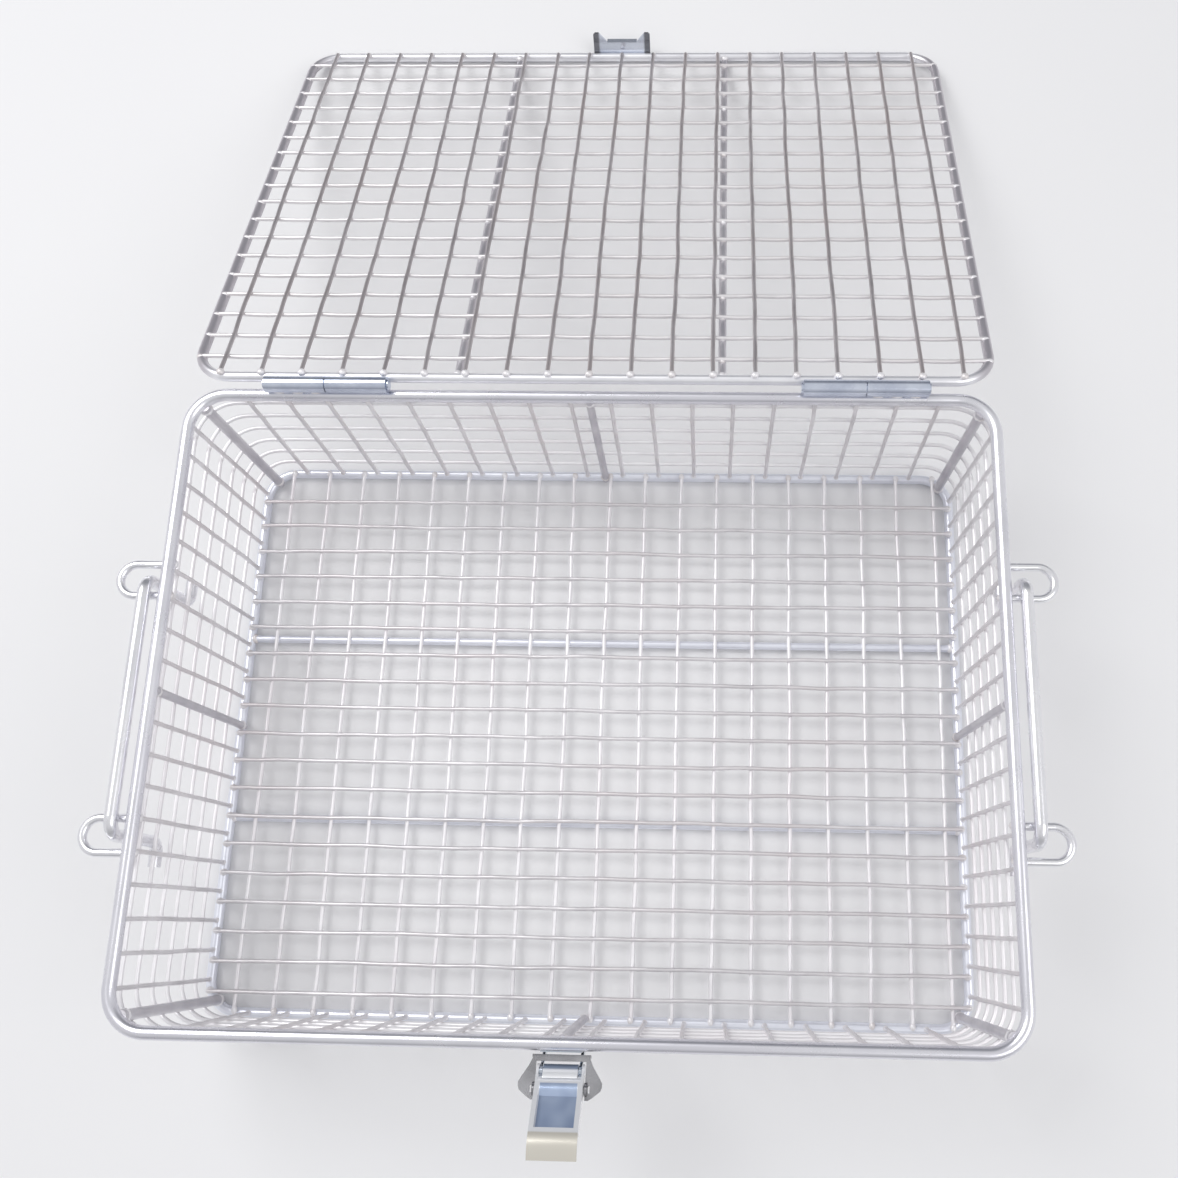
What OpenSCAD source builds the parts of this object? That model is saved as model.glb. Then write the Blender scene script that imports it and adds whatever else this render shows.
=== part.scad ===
// Wire basket for an autoclave, with a hinged lid, two drop handles and a toggle latch.
// The origin is on the table, under the middle of the basket. X runs to the right,
// Y to the back, where the lid is hinged, and Z up. The lid is modelled fully open,
// with its far rod on the table.

/* [Basket frame] */
// Length of the rim along X, between the rod's centre lines
rim_length = 394; // [340:1:440]
// Depth of the rim along Y, between the rod's centre lines
rim_depth = 298; // [250:1:340]
// Height of the rim's centre line above the table
rim_height = 103; // [90:1:130]
// Radius of the rim's corners at the centre line
rim_corner_r = 18; // [14:1:26]
// How much shorter the bottom ring is than the rim
ring_less_length = 6; // [2:0.5:9]
// How much less deep the bottom ring is than the rim
ring_less_depth = 3; // [2:0.5:6]
// Radius of the bottom ring's corners at the centre line
ring_corner_r = 16; // [12:1:24]
// Diameter of the rim's rod
rim_rod_d = 6; // [5.6:0.1:7]
// Diameter of the bottom ring's rod
ring_rod_d = 5; // [5:0.1:6]
// Diameter of the four corner posts
corner_post_d = 5; // [4:0.1:5]
// Diameter of the four posts in the middle of the sides
mid_post_d = 4; // [3:0.1:4.4]
// Diameter of the two rods under the floor
floor_rod_d = 4; // [3:0.1:4.2]
// Distance of the floor rods from the middle
floor_rod_y = 49; // [30:1:80]

/* [Wire mesh] */
// Thickness of a mesh wire
wire_d = 2; // [1.6:0.1:2.2]
// Depth that crossing wires are pressed into each other by the weld
weld_depth = 0.3; // [0.2:0.05:0.5]
// Spacing of the wires along X
pitch_x = 20.2; // [16:0.1:30]
// Spacing of the floor's and the side walls' wires along Y
pitch_y = 14.74; // [13:0.01:24]
// Spacing of the lid's wires along its depth
lid_pitch_y = 15.85; // [14:0.05:24]
// Spacing of the level wires of the walls
pitch_z = 14.7; // [12:0.1:24]
// Height of the lowest level wire of the walls
first_row_z = 17; // [14:0.5:24]
// Sideways offset of the floor mesh in the ring
floor_shift_x = 2.9; // [-4:0.1:4]
// Offset of the floor mesh towards the back
floor_shift_y = -4.1; // [-5:0.1:5]
// Offset of a wall's upright wires from the floor's wires, as a share of the spacing
wall_phase = 0.35; // [0.3:0.05:0.7]

/* [Lid] */
// Length of the lid frame along X, between the rod's centre lines
lid_length = 392; // [340:1:440]
// Depth of the lid frame, between the rod's centre lines
lid_depth = 294.8; // [250:0.1:340]
// Radius of the lid frame's corners at the centre line
lid_corner_r = 18; // [14:1:26]
// Diameter of the lid frame's rod
lid_rod_d = 5; // [4.6:0.1:6]
// Diameter of the lid's two cross rods
lid_cross_d = 4; // [3:0.1:4.4]
// Distance of the lid's cross rods from the middle
lid_cross_x = 65; // [40:1:100]

/* [Hinges] */
// Distance of a hinge's middle from the end of the rim
hinge_inset = 65.8; // [60:0.1:110]
// Sideways offset of both hinges
hinge_shift = 3; // [-4:0.5:4]
// Length of a hinge with both its knuckles
hinge_length = 60; // [40:1:80]
// Outer diameter of a knuckle
barrel_d = 8; // [7:0.1:10]
// Diameter of the hinge pin
hinge_pin_d = 4; // [3:0.1:4.6]
// Angle of the hinge above the rim, seen from the side
hinge_lean = 70; // [60:1:80]
// Angle of the lid's near rod under the hinge, against the lid's plane
lid_rod_drop = 12.5; // [5:0.5:20]
// Space between a knuckle and the rods beside it, which the weld fills
weld_gap = 0.34; // [0.3:0.02:0.6]
// Width of the weld between a knuckle and its rod
weld_width = 3; // [2:0.1:3.6]

/* [Handles] */
// Diameter of the handle rods
handle_d = 6; // [4.5:0.1:6.5]
// Distance between the two legs of a handle
handle_width = 120; // [90:1:150]
// Height of a handle from its grip to its feet
handle_drop = 48; // [40:1:56]
// Distance of the handles outside the rim's centre line
handle_out = 9.6; // [9:0.1:12]
// Radius of the bend between grip and leg, at the centre line
handle_bend_r = 8; // [6:0.5:12]
// Radius of the bend between leg and foot, at the centre line
foot_bend_r = 6; // [4:0.5:8]
// Straight length of a foot after its bend
foot_length = 6; // [5:0.5:10]
// Place of the left handle's middle along Y
left_handle_y = -6; // [-20:1:20]
// Place of the right handle's middle along Y
right_handle_y = -2; // [-20:1:20]
// How far the guide loops lie under the rim's centre line
loop_drop = 4; // [3.5:0.1:4.8]
// Thickness of the wire of the guide loops
loop_wire_d = 4; // [3:0.1:4.5]
// Distance between the two branches of a loop, at the centre line
loop_width = 15.5; // [14:0.5:18]
// How far a loop reaches out of the rim, at the centre line
loop_out = 24; // [20:0.5:30]

/* [Latch] */
// Place of the latch along X
latch_x = 0; // [-20:0.5:20]
// Height of the lever's pivot above the table
pivot_z = 98.4; // [98:0.1:98.8]
// Distance of the lever's pivot outside the rim's centre line
pivot_out = 11.5; // [11.3:0.1:13]
// Angle of the open lever above the horizontal
lever_open = 38.5; // [30:0.5:55]
// Outer width of the lever
lever_width = 20.3; // [18:0.1:21]
// Length of the lever's side flanges from its pivot
lever_length = 28.8; // [24:0.1:34]
// Length of the finger lip at the lever's end
lip_length = 11; // [7:0.5:13]
// Height of the lever's side flanges over its recessed panel
flange_height = 2.4; // [1.6:0.1:3]
// Distance of the claw's pivot from the lever's pivot
claw_arm = 7.3; // [7.2:0.1:7.6]
// Thickness of the lever's sheet steel
sheet = 1; // [0.8:0.1:1.1]
// Thickness of the plates of base, claw and keeper
plate = 1.2; // [1:0.1:1.4]
// Diameter of the lever's pin and of the claw's rivets
latch_pin_d = 3; // [2.5:0.1:3.2]
// Length of the claw from its pivot to the underside of its hook
claw_length = 12.5; // [12.4:0.1:12.8]
// Width of the claw at its hook
hook_width = 25; // [23:0.1:25.4]
// Width of the claw across its ears
ear_width = 35.5; // [32:0.5:38]
// Width of the keeper plate on the lid
keeper_width = 35.6; // [33:0.1:40]
// Length of the keeper from the lid rod's centre line to the end of its ledge
keeper_drop = 8.3; // [8:0.1:8.6]
// Width of the keeper's ledge, which the claw hooks over
ledge_width = 18.6; // [14:0.2:22]
// How far the keeper's ears reach past its ledge
keeper_ear = 5.9; // [3:0.1:7]

/* [Hidden] */

// Fits and small allowances
bite = 0.1;          // depth that a welded wire is melted into its rod
running = 0.05;      // radial clearance of a pin in a turning bore
side_play = 0.25;    // clearance between flat faces that turn beside each other
clear = 0.3;         // clearance between pieces that move past each other
knuckle_gap = 0.5;   // space between the two knuckles of a hinge
pin_head_d = 5.4;
pin_head_h = 0.8;
wire_sides = 8;      // mesh wires are drawn with flat sides
fine = 64;           // facets of a circle that is rebuilt as a true circle

// Frame lines
ring_length = rim_length - ring_less_length;
ring_depth = rim_depth - ring_less_depth;
ring_z = ring_rod_d / 2;
floor_z = ring_rod_d - bite + wire_d / 2;     // centre of the floor's lower wires
layer = wire_d - weld_depth;                  // step between crossing wires
rise = rim_height - ring_rod_d / 2;           // from the ring's to the rim's centre line
wall_rows = floor((rim_height - rim_rod_d / 2 - wire_d - first_row_z) / pitch_z) + 1;
// Set-back of the posts behind the level wires of the walls
post_set = mid_post_d / 2 - layer + wire_d / 2 + running;
corner_set = corner_post_d / 2 - layer + wire_d / 2 + running;

// Hinge and lid lines
hinge_x = rim_length / 2 - hinge_inset;
hinge_reach = rim_rod_d / 2 + weld_gap + barrel_d / 2;
hinge_y = rim_depth / 2 + hinge_reach * cos(hinge_lean);
hinge_z = rim_height + hinge_reach * sin(hinge_lean);
lid_reach = lid_rod_d / 2 + weld_gap + barrel_d / 2;
lid_start = lid_reach * cos(lid_rod_drop);    // near rod, along the lid from the hinge
lid_low = lid_reach * sin(lid_rod_drop);      // near rod, under the hinge
lid_far = lid_start + lid_depth;
// The open lid hangs back until its far rod is about to touch the table
lid_slope = asin((hinge_z - lid_rod_d / 2 - clear) / norm([lid_far, lid_low])) - atan(lid_low / lid_far);

// Handle lines
loop_z = rim_height - loop_drop;
grip_z = loop_z + loop_wire_d / 2 + running + handle_d / 2;
foot_z = grip_z - handle_drop;

// Latch lines: in the drawings of the latch, X points out of the front wall and Y up
top_row_z = first_row_z + (wall_rows - 1) * pitch_z;
// Inner face of the base plate, against the highest level wire of the front wall
base_out = layer + wire_d / 2 - ring_less_depth / 2 * (rim_height - top_row_z) / rise + 0.01;
lug_half = lever_width / 2 - sheet - side_play;
lug_r = 2.6;
claw_turn = 154.5;     // angle of the resting claw, against the lever
claw_set = 18;       // angle of the claw's pivot behind the lever's line
tab_half = lever_width / 2 + side_play;
ledge_out = 3.15;    // how far the ledge stands out of the keeper plate
hook_in = 3;         // how far the hook is turned in

// Positions of n points with one spacing, centred on a shift
function row(n, pitch, shift = 0) = [for (i = [0:n - 1]) shift + (i - (n - 1) / 2) * pitch];
// How many points of that spacing fit between two rods
function fitting(span, pitch, shift) = floor((span - 2 * abs(shift)) / pitch + 0.5);
// Half the chord of a rod at a distance from its centre
function chord(r, off) = sqrt(r * r - off * off);
// Those of a list that are inside a limit and clear of the post in the middle
function beside_post(list, limit) =
  [for (v = list) if (abs(v) <= limit && abs(v) > (mid_post_d + wire_d) / 2 + clear) v];
// Between a size of the ring and one of the rim, at a height
function at_height(ring, rim, z) = ring + (rim - ring) * (z - ring_z) / rise;

floor_x = row(fitting(ring_length - ring_rod_d - wire_d, pitch_x, floor_shift_x), pitch_x, floor_shift_x);
floor_y = row(fitting(ring_depth - ring_rod_d - wire_d, pitch_y, floor_shift_y), pitch_y, floor_shift_y);
upright_x = beside_post([for (x = floor_x) x + wall_phase * pitch_x], ring_length / 2 - ring_corner_r + 3);
upright_y = beside_post([for (y = floor_y) y + wall_phase * pitch_y], ring_depth / 2 - ring_corner_r + 3);

module steel(shade = 0.78) {
  color([shade, shade, shade + 0.02]) children();
}

// A straight rod from one point to another
module rod(p, q, d) {
  v = q - p;
  translate(p) rotate([0, acos(v.z / norm(v)), atan2(v.y, v.x)])
    cylinder(d = d, h = norm(v), $fn = fine);
}

// A closed rounded rectangle of rod, lying flat and centred
module rod_loop(length, depth, r, d) {
  for (s = [-1, 1]) {
    rod([-length / 2 + r, s * depth / 2, 0], [length / 2 - r, s * depth / 2, 0], d);
    rod([s * length / 2, -depth / 2 + r, 0], [s * length / 2, depth / 2 - r, 0], d);
  }
  for (a = [0:90:270]) {
    sx = (a == 0 || a == 270) ? 1 : -1;
    sy = (a < 180) ? 1 : -1;
    translate([sx * (length / 2 - r), sy * (depth / 2 - r), 0]) rotate([0, 0, a])
      rotate_extrude(angle = 90, $fn = fine) translate([r, 0]) circle(d = d, $fn = fine);
  }
}

// A flat-sided mesh wire along Z, with two flats facing X
module wire(length) {
  rotate([0, 0, 180 / wire_sides])
    cylinder(d = wire_d / cos(180 / wire_sides), h = length, $fn = wire_sides);
}

// A flat grid: wires along Y at the places xs, and wires along X on top at the places ys
module mesh(xs, ys, y0, y1, x0, x1) {
  union() {
    for (x = xs) translate([x, y0, 0]) rotate([-90, 0, 0]) wire(y1 - y0);
    for (y = ys) translate([x0, y, layer]) rotate([0, 90, 0]) wire(x1 - x0);
  }
}

module rim_loop() {
  translate([0, 0, rim_height]) rod_loop(rim_length, rim_depth, rim_corner_r, rim_rod_d);
}

module ring_loop() {
  translate([0, 0, ring_z]) rod_loop(ring_length, ring_depth, ring_corner_r, ring_rod_d);
}

module top_rim() {
  steel() rim_loop();
}

module bottom_ring() {
  steel() ring_loop();
}

// A post between ring and rim, its ends shaped to fit round both rods
module post(foot, head, d) {
  steel() difference() {
    rod(foot, head, d);
    ring_loop();
    rim_loop();
  }
}

function corner(length, depth, r) =
  [length / 2 - r * (1 - cos(45)) - corner_set * cos(45), depth / 2 - r * (1 - cos(45)) - corner_set * cos(45)];

// A post in a corner, set back behind the wires that turn round it
module corner_post(sx, sy) {
  foot = corner(ring_length, ring_depth, ring_corner_r);
  head = corner(rim_length, rim_depth, rim_corner_r);
  post([sx * foot.x, sy * foot.y, ring_z], [sx * head.x, sy * head.y, rim_height], corner_post_d);
}

// A post in the middle of a side, set back behind the wall's level wires
module mid_post(dx, dy) {
  post([dx * (ring_length / 2 - post_set), dy * (ring_depth / 2 - post_set), ring_z],
    [dx * (rim_length / 2 - post_set), dy * (rim_depth / 2 - post_set), rim_height], mid_post_d);
}

module floor_rod(s) {
  z = ring_rod_d - bite - floor_rod_d / 2;
  steel() difference() {
    rod([-ring_length / 2, s * floor_rod_y, z], [ring_length / 2, s * floor_rod_y, z], floor_rod_d);
    ring_loop();
  }
}

module floor_mesh() {
  steel(0.85) translate([0, 0, floor_z])
    mesh(floor_x, floor_y, -ring_depth / 2, ring_depth / 2, -ring_length / 2, ring_length / 2);
}

// A wall's grid, leaning from ring to rim. Upright wires at the places given end on
// both rods. Level wires lie on their outer side, and turn round half of each corner,
// where the next wall's wires meet them. Drawn as a back wall, length by depth.
module wall_mesh(places, ring_size, rim_size) {
  lean = atan((rim_size.y - ring_size.y) / 2 / rise);
  steel(0.85) union() {
    translate([0, ring_size.y / 2, ring_z]) rotate([90 - lean, 0, 0])
      for (x = places) translate([x, ring_rod_d / 2 - bite, 0]) rotate([-90, 0, 0])
        wire(rise / cos(lean) - rim_rod_d / 2 - ring_rod_d / 2 + 2 * bite);
    for (i = [0:wall_rows - 1]) level_wire(first_row_z + i * pitch_z, ring_size, rim_size);
  }
}

module level_wire(z, ring_size, rim_size) {
  r = at_height(ring_corner_r, rim_corner_r, z);
  x = at_height(ring_size.x, rim_size.x, z) / 2 - r;
  y = at_height(ring_size.y, rim_size.y, z) / 2;
  translate([-x, y + layer, z]) rotate([0, 90, 0]) wire(2 * x);
  // The turn starts a little inside the straight wire, and is drawn a little thinner
  for (s = [0, 1]) mirror([s, 0, 0]) translate([x, y - r, z]) rotate([0, 0, 45])
    rotate_extrude(angle = 46.5, $fn = fine) translate([r + layer, 0]) rotate(180 / wire_sides)
      circle(d = (wire_d - 0.04) / cos(180 / wire_sides), $fn = wire_sides);
}

module back_mesh() {
  wall_mesh(upright_x, [ring_length, ring_depth], [rim_length, rim_depth]);
}

module front_mesh() {
  mirror([0, 1, 0]) back_mesh();
}

module right_mesh() {
  rotate([0, 0, -90])
    wall_mesh([for (y = upright_y) -y], [ring_depth, ring_length], [rim_depth, rim_length]);
}

module left_mesh() {
  mirror([1, 0, 0]) right_mesh();
}

// A guide loop welded to the rim, open for one leg of a handle
module guide_loop(sx, y) {
  half = loop_width / 2;
  start = wire_d / 2 + 0.2;
  steel() difference() {
    translate([sx * rim_length / 2, y, loop_z]) mirror([sx < 0 ? 1 : 0, 0, 0]) {
      for (s = [-1, 1]) rod([start, s * half, 0], [loop_out - half, s * half, 0], loop_wire_d);
      translate([loop_out - half, 0, 0]) rotate([0, 0, -90])
        rotate_extrude(angle = 180, $fn = fine) translate([half, 0]) circle(d = loop_wire_d, $fn = fine);
    }
    rim_loop();
  }
}

// A drop handle: a grip, two legs through the loops and two feet that stop it
module handle(sx, y) {
  half = handle_width / 2;
  steel() translate([sx * (rim_length / 2 + handle_out), y, 0]) {
    rod([0, -half + handle_bend_r, grip_z], [0, half - handle_bend_r, grip_z], handle_d);
    for (s = [0, 1]) mirror([0, s, 0]) {
      translate([0, half - handle_bend_r, grip_z - handle_bend_r]) rotate([90, 0, 90])
        rotate_extrude(angle = 90, $fn = fine) translate([handle_bend_r, 0]) circle(d = handle_d, $fn = fine);
      rod([0, half, foot_z + foot_bend_r], [0, half, grip_z - handle_bend_r], handle_d);
      translate([0, half + foot_bend_r, foot_z + foot_bend_r]) rotate([90, 0, 90]) rotate([0, 0, 180])
        rotate_extrude(angle = 90, $fn = fine) translate([foot_bend_r, 0]) circle(d = handle_d, $fn = fine);
      rod([0, half + foot_bend_r, foot_z], [0, half + foot_bend_r + foot_length, foot_z], handle_d);
    }
  }
}

// A hinge knuckle along X from x0 to x1, with two welds towards the rod at the angle given
module knuckle(x0, x1, bore, reach, angle) {
  weld = (x1 - x0) / 4;
  difference() {
    union() {
      translate([x0, 0, 0]) rotate([0, 90, 0]) cylinder(d = barrel_d, h = x1 - x0, $fn = fine);
      for (x = [x0 + weld / 2, x1 - weld * 3 / 2]) rotate([angle, 0, 0])
        translate([x, 0, -weld_width / 2]) cube([weld, reach, weld_width]);
    }
    translate([x0 - 1, 0, 0]) rotate([0, 90, 0]) cylinder(d = bore, h = x1 - x0 + 2, $fn = fine);
  }
}

// Outer half of a hinge, welded to the rim
module rim_knuckle(s) {
  steel(0.7) difference() {
    translate([hinge_shift, hinge_y, hinge_z]) mirror([s < 0 ? 1 : 0, 0, 0])
      knuckle(hinge_x + knuckle_gap / 2, hinge_x + hinge_length / 2, hinge_pin_d + 2 * running,
        hinge_reach, 180 + hinge_lean);
    rim_loop();
  }
}

module hinge_pin(s) {
  x0 = hinge_x - hinge_length / 2 - clear;
  x1 = hinge_x + hinge_length / 2;
  steel(0.65) translate([hinge_shift, hinge_y, hinge_z]) mirror([s < 0 ? 1 : 0, 0, 0]) rotate([0, 90, 0]) {
    translate([0, 0, x0 - pin_head_h]) cylinder(d = pin_head_d, h = pin_head_h, $fn = fine);
    translate([0, 0, x0 - pin_head_h / 2]) cylinder(d = hinge_pin_d, h = x1 - x0 + pin_head_h, $fn = fine);
    translate([0, 0, x1]) cylinder(d = pin_head_d, h = pin_head_h, $fn = fine);
  }
}

// Moves a piece from the lid's own frame, with the hinge line at its origin
// and the lid along +Y, to the open lid
module on_lid() {
  translate([0, hinge_y, hinge_z]) rotate([-lid_slope, 0, 0]) children();
}

module lid_loop() {
  translate([0, lid_start + lid_depth / 2, -lid_low])
    rod_loop(lid_length, lid_depth, lid_corner_r, lid_rod_d);
}

module lid_frame() {
  steel() on_lid() lid_loop();
}

// A rod across the lid, under the mesh, with its ends shaped to fit the frame
module lid_cross_rod(s) {
  z = lid_rod_d / 2 + wire_d / 2 - bite - layer - wire_d / 2 - lid_cross_d / 2;
  steel() on_lid() difference() {
    rod([s * lid_cross_x, lid_start + 1.2, z - lid_low], [s * lid_cross_x, lid_far - 1.2, z - lid_low], lid_cross_d);
    lid_loop();
  }
}

// The lid's grid: the wires along its depth lie on the inner side, over the frame
module lid_mesh() {
  top = lid_rod_d / 2 + wire_d / 2 - bite;
  half = lid_length / 2 - chord(lid_rod_d / 2, top - layer - wire_d / 2) + bite;
  xs = row(fitting(lid_length - lid_rod_d - wire_d, pitch_x, 0), pitch_x);
  ys = row(fitting(lid_depth - lid_rod_d - wire_d, lid_pitch_y, 0), lid_pitch_y);
  steel(0.85) on_lid() translate([0, lid_start + lid_depth / 2, top - lid_low]) mirror([0, 0, 1])
    mesh(xs, ys, -lid_depth / 2, lid_depth / 2, -half, half);
}

// Inner half of a hinge, welded to the lid frame
module lid_knuckle(s) {
  steel(0.7) on_lid() difference() {
    translate([hinge_shift, 0, 0]) mirror([s < 0 ? 1 : 0, 0, 0])
      knuckle(hinge_x - hinge_length / 2, hinge_x - knuckle_gap / 2, hinge_pin_d + 2 * running,
        lid_reach, -lid_rod_drop);
    lid_loop();
  }
}

// The keeper: a plate on the lid's far rod, with a ledge for the claw between two ears
module keeper() {
  half = keeper_width / 2;
  w = ledge_width / 2;
  tip = keeper_drop + keeper_ear;
  steel(0.7) on_lid() difference() {
    translate([0, lid_far + lid_rod_d / 2 - bite, -lid_low]) {
      rotate([90, 0, 0]) mirror([0, 0, 1]) linear_extrude(plate) for (s = [0, 1]) mirror([s, 0]) polygon([
        [0, -lid_rod_d / 2 + 0.5], [half, -lid_rod_d / 2 + 0.5], [half, tip - 1], [half - 1, tip],
        [half - 3.4, tip], [w + 0.6, keeper_drop + 1], [w, keeper_drop], [0, keeper_drop]
      ]);
      translate([-w, 0, keeper_drop - plate]) cube([ledge_width, plate + ledge_out, plate]);
    }
    lid_loop();
  }
}

// Turns a drawing of the latch, X outward and Y up, into a plate from x0 to x1
module across(x0, x1) {
  translate([latch_x + x0, -rim_depth / 2, 0]) rotate([90, 0, -90]) mirror([0, 0, 1])
    linear_extrude(x1 - x0) children();
}

// The same plate on both sides of the latch, from x0 to x1 and mirrored
module both(x0, x1) {
  across(x0, x1) children();
  across(-x1, -x0) children();
}

// The base: a plate welded to the front wall, with two lugs for the lever's pin
module latch_base() {
  steel(0.7) {
    difference() {
      union() {
        across(-lug_half, lug_half) translate([base_out, pivot_z - 24]) square([plate, 27]);
        both(lug_half - plate, lug_half) {
          translate([pivot_out, pivot_z]) circle(r = lug_r, $fn = fine);
          translate([pivot_out, pivot_z]) polygon([
            [base_out - pivot_out, -18], [base_out - pivot_out, -6.5], [-4.1, -4.4],
            [-lug_r, 0.2], [0, 0], [-lug_r * 0.57, -lug_r * 0.82]
          ]);
        }
      }
      both(lug_half - plate - 1, lug_half + 1)
        translate([pivot_out, pivot_z]) circle(d = latch_pin_d, $fn = fine);
      rim_loop();
    }
  }
}

module lever_pin() {
  half = lever_width / 2;
  steel(0.65) translate([latch_x - half, -rim_depth / 2 - pivot_out, pivot_z]) rotate([0, 90, 0])
    cylinder(d = latch_pin_d, h = 2 * half, $fn = fine);
}

// Moves a drawing of the lever, which lies along +X from its pivot, to the open lever
module on_lever() {
  translate([pivot_out, pivot_z]) rotate(lever_open) children();
}

// Moves a drawing of the claw, which lies along +X from its pivot, to the resting claw
module on_claw() {
  on_lever() rotate(-claw_set) translate([claw_arm, 0]) rotate(claw_set + claw_turn) children();
}

// A side flange of the lever, round both of its pivots
module flange_outline() {
  high = flange_height + sheet / 2;
  q = [claw_arm * cos(claw_set), -claw_arm * sin(claw_set)];
  difference() {
    union() {
      circle(r = 2.9, $fn = fine);
      translate(q) circle(r = 2.6, $fn = fine);
      polygon([
        [0, -2.9], [q.x, q.y - 2.6], [q.x + 5, -2.4], [lever_length - 2, -1.6], [lever_length, -0.4],
        [lever_length, high], [4, high], [0, 2.9]
      ]);
    }
    circle(d = latch_pin_d + 2 * running, $fn = fine);
    translate(q) circle(d = latch_pin_d, $fn = fine);
  }
}

// A strip of sheet bent round a centre, from the vertical through it to an angle on each side
module bent(r, before, after) {
  intersection() {
    difference() {
      circle(r = r, $fn = fine);
      circle(r = r - sheet, $fn = fine);
    }
    polygon([[0, 0], [-2 * r * tan(before), 2 * r], [2 * r * tan(after), 2 * r]]);
  }
}

// The lever: a pressed tray with a rim, a hump at the pivot's end and a curved finger lip
module latch_lever() {
  half = lever_width / 2;
  inner = half - sheet / 2;
  high = flange_height + sheet / 2;
  border = 2;
  hump_r = 6;
  lip_r = 12;
  steel(0.72) {
    both(half - sheet, half) on_lever() flange_outline();
    // The turned-in edges on both sides and at the end
    both(half - border, inner) on_lever() translate([7, high - sheet]) square([lever_length - 7, sheet]);
    across(-inner, inner) on_lever() {
      translate([lever_length - border, high - sheet]) square([border, sheet]);
      translate([lever_length - border, -sheet / 2]) square([sheet, high]);
      translate([7 + hump_r * 0.7, -sheet / 2]) square([lever_length - border - 7 - hump_r * 0.7, sheet]);
      translate([7, high - hump_r]) bent(hump_r, 24, 56);
    }
    across(-half, half) on_lever() translate([lever_length - 0.5, high - lip_r])
      bent(lip_r, 2, 2 * asin(lip_length / 2 / lip_r));
  }
}

// Two rivets on which the claw turns, one in each flange of the lever
module claw_rivets() {
  steel(0.65) both(lever_width / 2 - sheet, tab_half + plate + 0.3)
    on_claw() circle(d = latch_pin_d, $fn = fine);
}

// The claw: a plate with two ears beside the lever, a band across it and a hook
module latch_claw() {
  e = ear_width / 2;
  w = hook_width / 2;
  inner = lever_width / 2 + 0.5;
  steel(0.72) difference() {
    union() {
      intersection() {
        across(-e, e) on_claw() translate([-5, -plate / 2]) square([claw_length + plate + 5, plate]);
        claw_blank(e, w, inner);
      }
      across(-w, w) on_claw() translate([claw_length, -plate / 2]) square([plate, plate / 2 + hook_in]);
      both(tab_half, tab_half + plate) on_claw() circle(r = 2.8, $fn = fine);
    }
    both(tab_half - 1, tab_half + plate + 1) on_claw() circle(d = latch_pin_d + 2 * running, $fn = fine);
  }
}

// The claw's outline, seen on its face, as a block that its flat plate is cut from
module claw_blank(e, w, inner) {
  q = claw_arm;
  a = lever_open - claw_set;
  translate([latch_x, -rim_depth / 2 - pivot_out - q * cos(a), pivot_z + q * sin(a)])
    rotate([-(lever_open + claw_turn), 0, 0]) translate([0, 0, -5]) linear_extrude(10)
    for (s = [0, 1]) mirror([s, 0]) polygon([
      [inner, 4.3], [inner + 1.4, 4.3], [inner + 3.2, 3.2], [e - 0.6, 0.6], [e, -1], [e, -2.6],
      [e - 1, -4.4], [w + 1.2, -claw_length + 3.4], [w - 0.6, -claw_length - plate / 2],
      [0, -claw_length - plate / 2], [0, -claw_length + 1.5], [inner, -claw_length + 1.5]
    ]);
}

top_rim();
bottom_ring();
corner_post(-1, -1);  // corner_post_front_left
corner_post(1, -1);  // corner_post_front_right
corner_post(-1, 1);  // corner_post_back_left
corner_post(1, 1);  // corner_post_back_right
mid_post(0, -1);  // mid_post_front
mid_post(0, 1);  // mid_post_back
mid_post(-1, 0);  // mid_post_left
mid_post(1, 0);  // mid_post_right
floor_rod(-1);  // floor_rod_front
floor_rod(1);  // floor_rod_back
floor_mesh();
front_mesh();
back_mesh();
left_mesh();
right_mesh();
guide_loop(-1, left_handle_y - handle_width / 2);  // loop_left_front
guide_loop(-1, left_handle_y + handle_width / 2);  // loop_left_back
guide_loop(1, right_handle_y - handle_width / 2);  // loop_right_front
guide_loop(1, right_handle_y + handle_width / 2);  // loop_right_back
rim_knuckle(-1);  // rim_knuckle_left
rim_knuckle(1);  // rim_knuckle_right
hinge_pin(-1);  // hinge_pin_left
hinge_pin(1);  // hinge_pin_right
latch_base();
lever_pin();
lid_frame();
lid_cross_rod(-1);  // lid_cross_rod_left
lid_cross_rod(1);  // lid_cross_rod_right
lid_mesh();
lid_knuckle(-1);  // lid_knuckle_left
lid_knuckle(1);  // lid_knuckle_right
keeper();
handle(-1, left_handle_y);  // handle_left
handle(1, right_handle_y);  // handle_right
latch_lever();
claw_rivets();
latch_claw();
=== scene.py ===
import bpy, bmesh, math
from mathutils import Vector, Matrix, noise


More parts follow.
